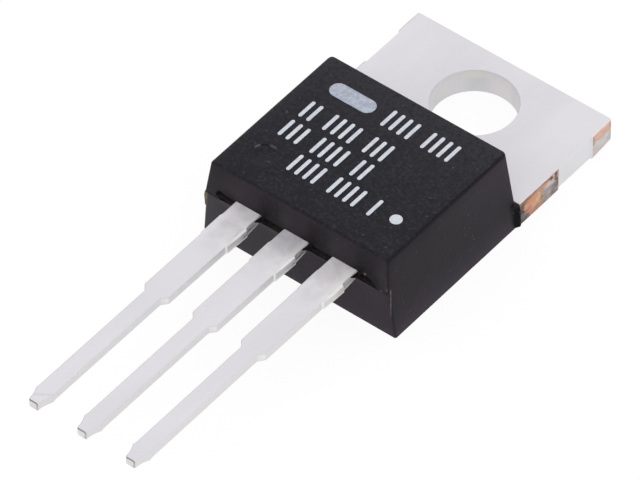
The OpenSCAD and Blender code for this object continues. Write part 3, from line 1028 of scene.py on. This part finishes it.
def plate_side(half):
    """The right side of the plate under the body, with its notch, up to the tab."""
    reach = PLATE_W / 2
    notch_y = BACK_Y - NOTCH_IN
    angle = math.degrees(math.acos((reach - half) / NOTCH_R))
    return [(half, PLATE_END_Y)] + arc((reach, notch_y), NOTCH_R, 180 + angle, 180 - angle, 10)


def plate_outline(half):
    """The plate under the body seen from above, anticlockwise."""
    side = plate_side(half) + [(half, BACK_Y)]
    return side + [(-x, y) for x, y in reversed(side)]


def sheared_length(from_y, to_y, half, bow, steps=6):
    """A bared edge length, bowed outward a little, its first point left out."""
    points = []
    for k in range(1, steps + 1):
        t = k / steps
        points.append((half + bow * math.sin(math.pi * t), between(from_y, to_y, t)))
    return points


def tab_side(half, plate_half, far_bow, near_bow, corner_r):
    """One side of the tab and plate, drawn for x > 0 from the plate's front end."""
    inner = half - EDGE_RECESS
    far = TAB_END_Y - SHEAR_FAR
    near = BACK_Y + SHEAR_NEAR
    corner = (half - corner_r, TAB_END_Y - corner_r)
    side = plate_side(plate_half)
    side += [(plate_half, BACK_Y), (half, BACK_Y)]
    side += sheared_length(BACK_Y, near, half, near_bow)
    side += arc((half, near + EDGE_RECESS), EDGE_RECESS, 270, 180, 4)[1:]
    side += [(inner, between(near + EDGE_RECESS, far - FAR_RAMP, k / 6)) for k in range(1, 6)]
    side += [(half - EDGE_RECESS * (1 + math.cos(math.pi * k / 5)) / 2, far - FAR_RAMP * (1 - k / 5))
             for k in range(6)]
    side += sheared_length(far, corner[1], half, far_bow)[:-1]
    side += arc(corner, corner_r, 0, 90, 5)
    return side


def tab_outline(plate_half):
    """Tab and plate seen from above, anticlockwise, with the bared edges proud of the rest."""
    right = tab_side(TAB_W / 2, plate_half, 0.005, 0.005, TAB_CORNER_R)
    left = tab_side(TAB_W / 2 + TAB_LEFT_OUT, plate_half, 0.02, 0.0, TAB_LEFT_CORNER_R)
    return right + [(-x, y) for x, y in reversed(left)]


def tab_face_material(face):
    """Copper on the bared lengths of the tab's two long edges, tin elsewhere."""
    middle = face.calc_center_median()
    reach = math.hypot(middle.x, middle.y)
    if reach < HOLE_R + 0.04 and 0.03 < middle.z < TAB_T - 0.03:
        return HOLE_WALL
    far_y = TAB_END_Y - SHEAR_FAR
    near_y = BACK_Y + SHEAR_NEAR
    step = near_y < middle.y < near_y + EDGE_RECESS
    if step and abs(middle.x) > TAB_W / 2 - EDGE_RECESS and abs(face.normal.z) < 0.9:
        return BARE_EDGE_HIGHLIGHT
    bared = middle.y > far_y or BACK_Y < middle.y < near_y
    if abs(middle.x) < TAB_W / 2 - 0.055 or not bared or abs(face.normal.y) > 0.7:
        return TIN
    if abs(face.normal.x) > 0.9:
        return COPPER
    return BARE_EDGE_HIGHLIGHT if 0.2 < face.normal.x else TIN


def worn_corner(x, y, z):
    """Ease the lower edge of the far bared lengths, more and more toward the tab's corners."""
    reach = max(0, min(1, (y - TAB_END_Y + SHEAR_FAR) / SHEAR_FAR))
    if abs(x) < TAB_W / 2 - 0.2 or z > 0.1:
        return x, y, z
    if z == 0:
        return x - math.copysign(0.09 * reach, x), y, z
    return x, y, z + 0.17 * reach


def tab_slab():
    """Thick part of the stamping with its hole, edges eased and its sides stepped."""
    bm = bmesh.new()
    outer = []
    for z, inset in edge_levels(0, TAB_T, 0.02, 0.05):
        half = PLATE_BASE_W / 2 if z < PLATE_STEP else PLATE_W / 2
        if z > PLATE_STEP and outer and outer[-1][0] < PLATE_STEP:
            for level_half in (PLATE_BASE_W / 2, PLATE_W / 2):
                outer.append((PLATE_STEP, tab_outline(level_half)))
        outer.append((z, offset_outline(tab_outline(half), inset)))
    rings = [ring(bm, [worn_corner(x, y, z) for x, y in points]) for z, points in outer]
    bridge(bm, rings)
    hole = [ring(bm, at_height(arc((0, 0), HOLE_R + inset, 360, 0, 72)[:-1], z))
            for z, inset in edge_levels(0, TAB_T, 0.03, 0.06)]
    bridge(bm, hole)
    fill(bm, rings[0], hole[0])
    fill(bm, rings[-1], hole[-1])
    return bm


# Leads

LEAD_STEP = 0.35
# The part of a cut end that is pale
CUT_PALE_PART = Vector((0.64, 1, 0.44))
# Half widths of the lead's end, each at its distance from the tip, with how eased its edges are
# and how far the cut drew its underside down
TIP_STATIONS = ((0.95, 0.415, 0, 0), (0.80, 0.43, 0, 0), (0.72, 0.44, 0, 0), (0.66, 0.43, 0, 0),
                (0.58, 0.39, 0, 0), (0.50, 0.36, 0.2, 0), (0.40, 0.325, 0.4, 0),
                (0.31, 0.30, 0.6, 0), (0.10, 0.275, 0.8, 0), (0.03, 0.26, 1, 0.03), (0, 0.235, 1, 0.045))


def width_stations(inner_y):
    """(y, half width, right stub low down, right stub at the top, left stub, ease, drawn)."""
    wide, tail = LEAD_W / 2, TAIL_W / 2
    split_y = FRONT_Y - STUB_SPLIT
    stub_end = FRONT_Y - STUB_AT - STUB_LEN
    shoulder_y = FRONT_Y - SHOULDER_AT
    tail_y = shoulder_y - SHOULDER_RUN
    steps = [(inner_y, wide, 0, 0, 0), (FRONT_Y, wide, 0, 0, 0.3),
             (FRONT_Y - 0.05, wide, 0.1, 0, 0.3), (FRONT_Y - STUB_LEFT_AT, wide, 0.75, 0, 0.3),
             (split_y + 0.07, wide, 0.9, 0.5, 0.5), (split_y + 0.045, wide, 0.9, 0.7, 0.7),
             (split_y + 0.035, wide, 0, 0.8, 0.9), (split_y + 0.005, wide, 0, 1, 1.1),
             (split_y - 0.005, wide, 1.7, 1.75, 1.1), (split_y - 0.5, wide, 1.5, 1.65, 1.0),
             (stub_end, wide, 1.0, 1.25, 0.9), (stub_end - 0.05, wide, 0.2, 0.2, 0),
             (shoulder_y + 0.06, wide, 0, 0, 0), (shoulder_y, wide - 0.02, 0, 0, 0),
             (tail_y, tail + 0.02, 0, 0, 0), (tail_y - 0.05, tail, 0, 0, 0)]
    steps = [(*step, 0, 0) for step in steps]
    steps += [(TIP_Y + d, half, 0, 0, 0, ease, drawn) for d, half, ease, drawn in TIP_STATIONS]
    made = [steps[0]]
    for before, after in zip(steps, steps[1:]):
        count = max(1, round(abs(after[0] - before[0]) / LEAD_STEP))
        made += [tuple(between(a, b, k / count) for a, b in zip(before, after))
                 for k in range(1, count + 1)]
    return made


def side_points(half, stub_low, stub_top, ease, drawn, burr):
    """(x, height) up one side of a lead's section, from the bottom to the top."""
    low_r = 0.03 + 0.03 * ease
    top_r = 0.06 + 0.03 * ease
    low_half = half + STUB_OUT * stub_low
    top_half = half + STUB_OUT * 0.8 * stub_top
    points = [(half * 0.6, -drawn), (low_half - low_r - 0.02, -drawn),
              (low_half - 0.3 * low_r, 0.3 * low_r - burr - drawn), (low_half, low_r - drawn),
              (between(low_half, top_half, 0.25), 0.3 * LEAD_T)]
    points += [(top_half - top_r + top_r * math.cos(t), LEAD_T - top_r + top_r * math.sin(t))
               for t in (math.pi * k / 10 for k in range(6))]
    return points + [(half * 0.6, LEAD_T)]


def lead_section(half, low_right, top_right, left, ease, drawn, seed, y):
    """Points (x, height) round one cross-section, from the bottom middle, anticlockwise."""
    uneven = 0.5 + abs(noise.noise(Vector((seed, y * 2.6, 0.0))))
    half = half + 0.004 * noise.noise(Vector((seed * 5, y * 1.3, 1.0)))
    right = side_points(half, low_right, top_right, ease, drawn, 0.012 * min(1, low_right) * uneven)
    opposite = side_points(half, left * uneven, left * 0.9, ease, drawn, 0.012 * left * uneven)
    return right + [(-x, z) for x, z in reversed(opposite)]


def end_cap(bm, last, centre):
    """The cut end: a rim, dark along its top and sides, round a pale middle."""
    inner = [bm.verts.new(centre + (v.co - centre) * CUT_PALE_PART) for v in last]
    for i in range(len(last)):
        j = (i + 1) % len(last)
        face = bm.faces.new((last[i], inner[i], inner[j], last[j]))
        middle = (last[i].co + last[j].co) / 2 - centre
        dark = middle.z > 0.12 or middle.x > 0.12 or (middle.x < -0.12 and middle.z > 0.03)
        face.material_index = CUT_RIM if dark else CUT_END
    bm.faces.new(inner[::-1]).material_index = CUT_END


def lead_mesh(centre_x, path, seed, left_part=1):
    """A flat lead swept along path: (y, underside z, slope, then as in width_stations)."""
    bm = bmesh.new()
    rings = []
    for y, z, slope, half, low_right, top_right, left, ease, drawn in path:
        section = lead_section(half, low_right, top_right, left * left_part, ease, drawn, seed, y)
        rings.append(ring(bm, [(centre_x + x, y + h * math.sin(slope), z + h * math.cos(slope))
                               for x, h in section]))
    bridge(bm, rings)
    bm.faces.new(rings[0])
    end_cap(bm, rings[-1], Vector((centre_x, TIP_Y, LEAD_Z + LEAD_T / 2)))
    return bm


def flat_path(inner_y):
    return [(y, LEAD_Z, 0.0, *rest) for y, *rest in width_stations(inner_y)]


def middle_path():
    """From the plate up the bend to the flat run and the tip."""
    lap_z = TAB_T - LEAD_T
    drop = LEAD_Z - lap_z
    upper_y = FRONT_Y + BEND_IN
    lower_y = upper_y + drop / math.tan(BEND_ANGLE)
    trim = BEND_R * math.tan(BEND_ANGLE / 2)
    outer = BEND_R + LEAD_T
    outer_trim = outer * math.tan(BEND_ANGLE / 2)
    plain = (LEAD_W / 2, 0, 0, 0, 0, 0)
    path = [(PLATE_END_Y + LEAD_LAP, lap_z, 0.0, *plain)]
    steps = 6
    # lower bend: the underside is the outer side
    start_y = lower_y + outer_trim
    for k in range(steps + 1):
        a = BEND_ANGLE * k / steps
        path.append((start_y - outer * math.sin(a), lap_z + outer * (1 - math.cos(a)), a, *plain))
    # upper bend: the underside is the inner side
    end_y = upper_y - trim
    for k in range(steps + 1):
        a = BEND_ANGLE * (1 - k / steps)
        path.append((end_y + BEND_R * math.sin(a), LEAD_Z - BEND_R * (1 - math.cos(a)), a, *plain))
    return path + [p for p in flat_path(FRONT_Y + 0.1) if p[0] < end_y]


def make_tab(materials):
    slab = tab_slab()
    lead = lead_mesh(0.0, middle_path(), 7.0)
    bm = boolean(slab, lead, "UNION")
    bmesh.ops.recalc_face_normals(bm, faces=bm.faces)
    bm.normal_update()
    for face in bm.faces:
        if face.material_index == TIN:
            face.material_index = tab_face_material(face)
    piece = new_piece("heat_tab_finish", bm, materials)
    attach(piece, "root")
    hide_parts("heat_tab_with_middle_lead")


def make_outer_lead(node, side, materials):
    path = flat_path(POST_Y - POST_LEN)
    post = [(y, LEAD_Z, 0.0, POST_W / 2, 0, 0, 0, 0, 0)
            for y in (POST_Y, POST_Y - POST_LEN + 0.001)]
    bm = lead_mesh(side * LEAD_PITCH, post + path, side * 3.0, 0.6 if side > 0 else 1)
    hole = drum((side * LEAD_PITCH, POST_Y - POST_LEN + POST_HOLE_D), POST_HOLE_D / 2,
                LEAD_Z - 1, LEAD_TOP + 1, steps=24)
    bm = boolean(bm, hole, "DIFFERENCE")
    piece = new_piece(node + "_finish", bm, materials)
    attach(piece, "root")
    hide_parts(node)


def dress_cad_node(node, material):
    mesh = frame["nodes"][node].data
    mesh.materials.clear()
    mesh.materials.append(material)


# Floor and light

FLOOR_LIT_TONE = 0.8
FLOOR_GLOW = 0.92
FLOOR_TONE = 0.09
FLOOR_MIRRORED_GLOW = 0.82
FLOOR_MIRRORED_TONE = 0.18
FLOOR_REACH = 3000
LAMP_PLACE = Vector((-160, 120, 260))
LAMP_AIM = Vector((0, -8, 2))
LAMP_SIZE = 220
LAMP_POWER = 0.02


def floor_look(n, soft, colour, glow):
    """A floor of this tone that also glows, so that it looks white and still takes a shadow."""
    shade = n.times(soft, colour)
    colour = n.add("ShaderNodeCombineColor", {0: shade, 1: shade, 2: shade}).outputs[0]
    plain = n.add("ShaderNodeBsdfDiffuse", {"Color": colour}).outputs[0]
    light = n.add("ShaderNodeEmission", {"Strength": glow}).outputs[0]
    return n.add("ShaderNodeAddShader", {0: plain, 1: light}).outputs[0]


def floor_material():
    n = Nodes("floor")
    rays = n.add("ShaderNodeLightPath").outputs
    soft = n.remap(n.noise(0.02), 0.3, 0.7, 0.985, 1.0)
    lit = floor_look(n, soft, FLOOR_LIT_TONE, 0.0)
    mirrored = floor_look(n, soft, FLOOR_MIRRORED_TONE, FLOOR_MIRRORED_GLOW)
    shown = floor_look(n, soft, FLOOR_TONE, FLOOR_GLOW)
    seen = n.larger(rays["Is Camera Ray"], rays["Is Transmission Ray"])
    mixed = n.add("ShaderNodeMixShader", {0: rays["Is Glossy Ray"], 1: lit, 2: mirrored}).outputs[0]
    mixed = n.add("ShaderNodeMixShader", {0: seen, 1: mixed, 2: shown}).outputs[0]
    n.tree.links.new(mixed, n.output.inputs[0])
    return n.material


def make_floor():
    bm = bmesh.new()
    bm.faces.new(ring(bm, at_height(arc((0, 0), FLOOR_REACH, 0, 360, 4)[:-1], 0)))
    mesh = to_mesh("floor", bm)
    mesh.transform(Matrix.Scale(MM, 4))
    mesh.materials.append(floor_material())
    floor = show("floor", mesh)


def make_world():
    """Even white light from all round, which is also the background."""
    world = bpy.data.worlds.new("studio")
    bpy.context.scene.world = world
    world.use_nodes = True
    tree = world.node_tree
    tree.nodes.clear()
    light = tree.nodes.new("ShaderNodeBackground")
    light.inputs["Color"].default_value = (1.0, 1.0, 1.0, 1.0)
    light.inputs["Strength"].default_value = 1.0
    output = tree.nodes.new("ShaderNodeOutputWorld")
    tree.links.new(light.outputs[0], output.inputs[0])


def make_lamp():
    data = bpy.data.lights.new("key", "AREA")
    data.shape = "DISK"
    data.size = LAMP_SIZE * MM
    data.energy = LAMP_POWER
    place, aim = LAMP_PLACE * MM, LAMP_AIM * MM
    turn = (place - aim).to_track_quat("Z", "Y").to_matrix().to_4x4()
    show("key", data).matrix_world = Matrix.Translation(place) @ turn


def dress_cad_nodes():
    """The ink, and the pieces sealed in the body."""
    dress_cad_node("face_marks", ink_material())
    dress_cad_node("silicon_chip", hidden_material(
        "silicon", 3, (0.05, 0.055, 0.07), (0.16, 0.17, 0.2), (0.2, 0.35), 0.0))
    dress_cad_node("chip_solder", hidden_material(
        "solder", 5, (0.34, 0.34, 0.36), (0.46, 0.46, 0.48), (0.45, 0.6), 1.0))
    wire = hidden_material("bond_wire", 12, (0.7, 0.7, 0.72), (0.8, 0.8, 0.82), (0.3, 0.45), 1.0)
    for node in frame["nodes"]:
        if node.endswith(("_wire", "_inner", "_outer", "_left", "_right")):
            dress_cad_node(node, wire)


def main():
    bpy.context.scene.view_settings.view_transform = "Standard"
    make_camera()
    make_world()
    make_floor()
    make_lamp()
    make_body([epoxy_material(), flash_material()])
    metals = [tin_material(), sheared_copper_material(), bare_edge_highlight_material(),
              hole_wall_material(), cut_end_material(), cut_rim_material()]
    make_tab(metals)
    for node, side in (("ground_lead", -1), ("input_lead", 1)):
        make_outer_lead(node, side, metals)
    dress_cad_nodes()


main()
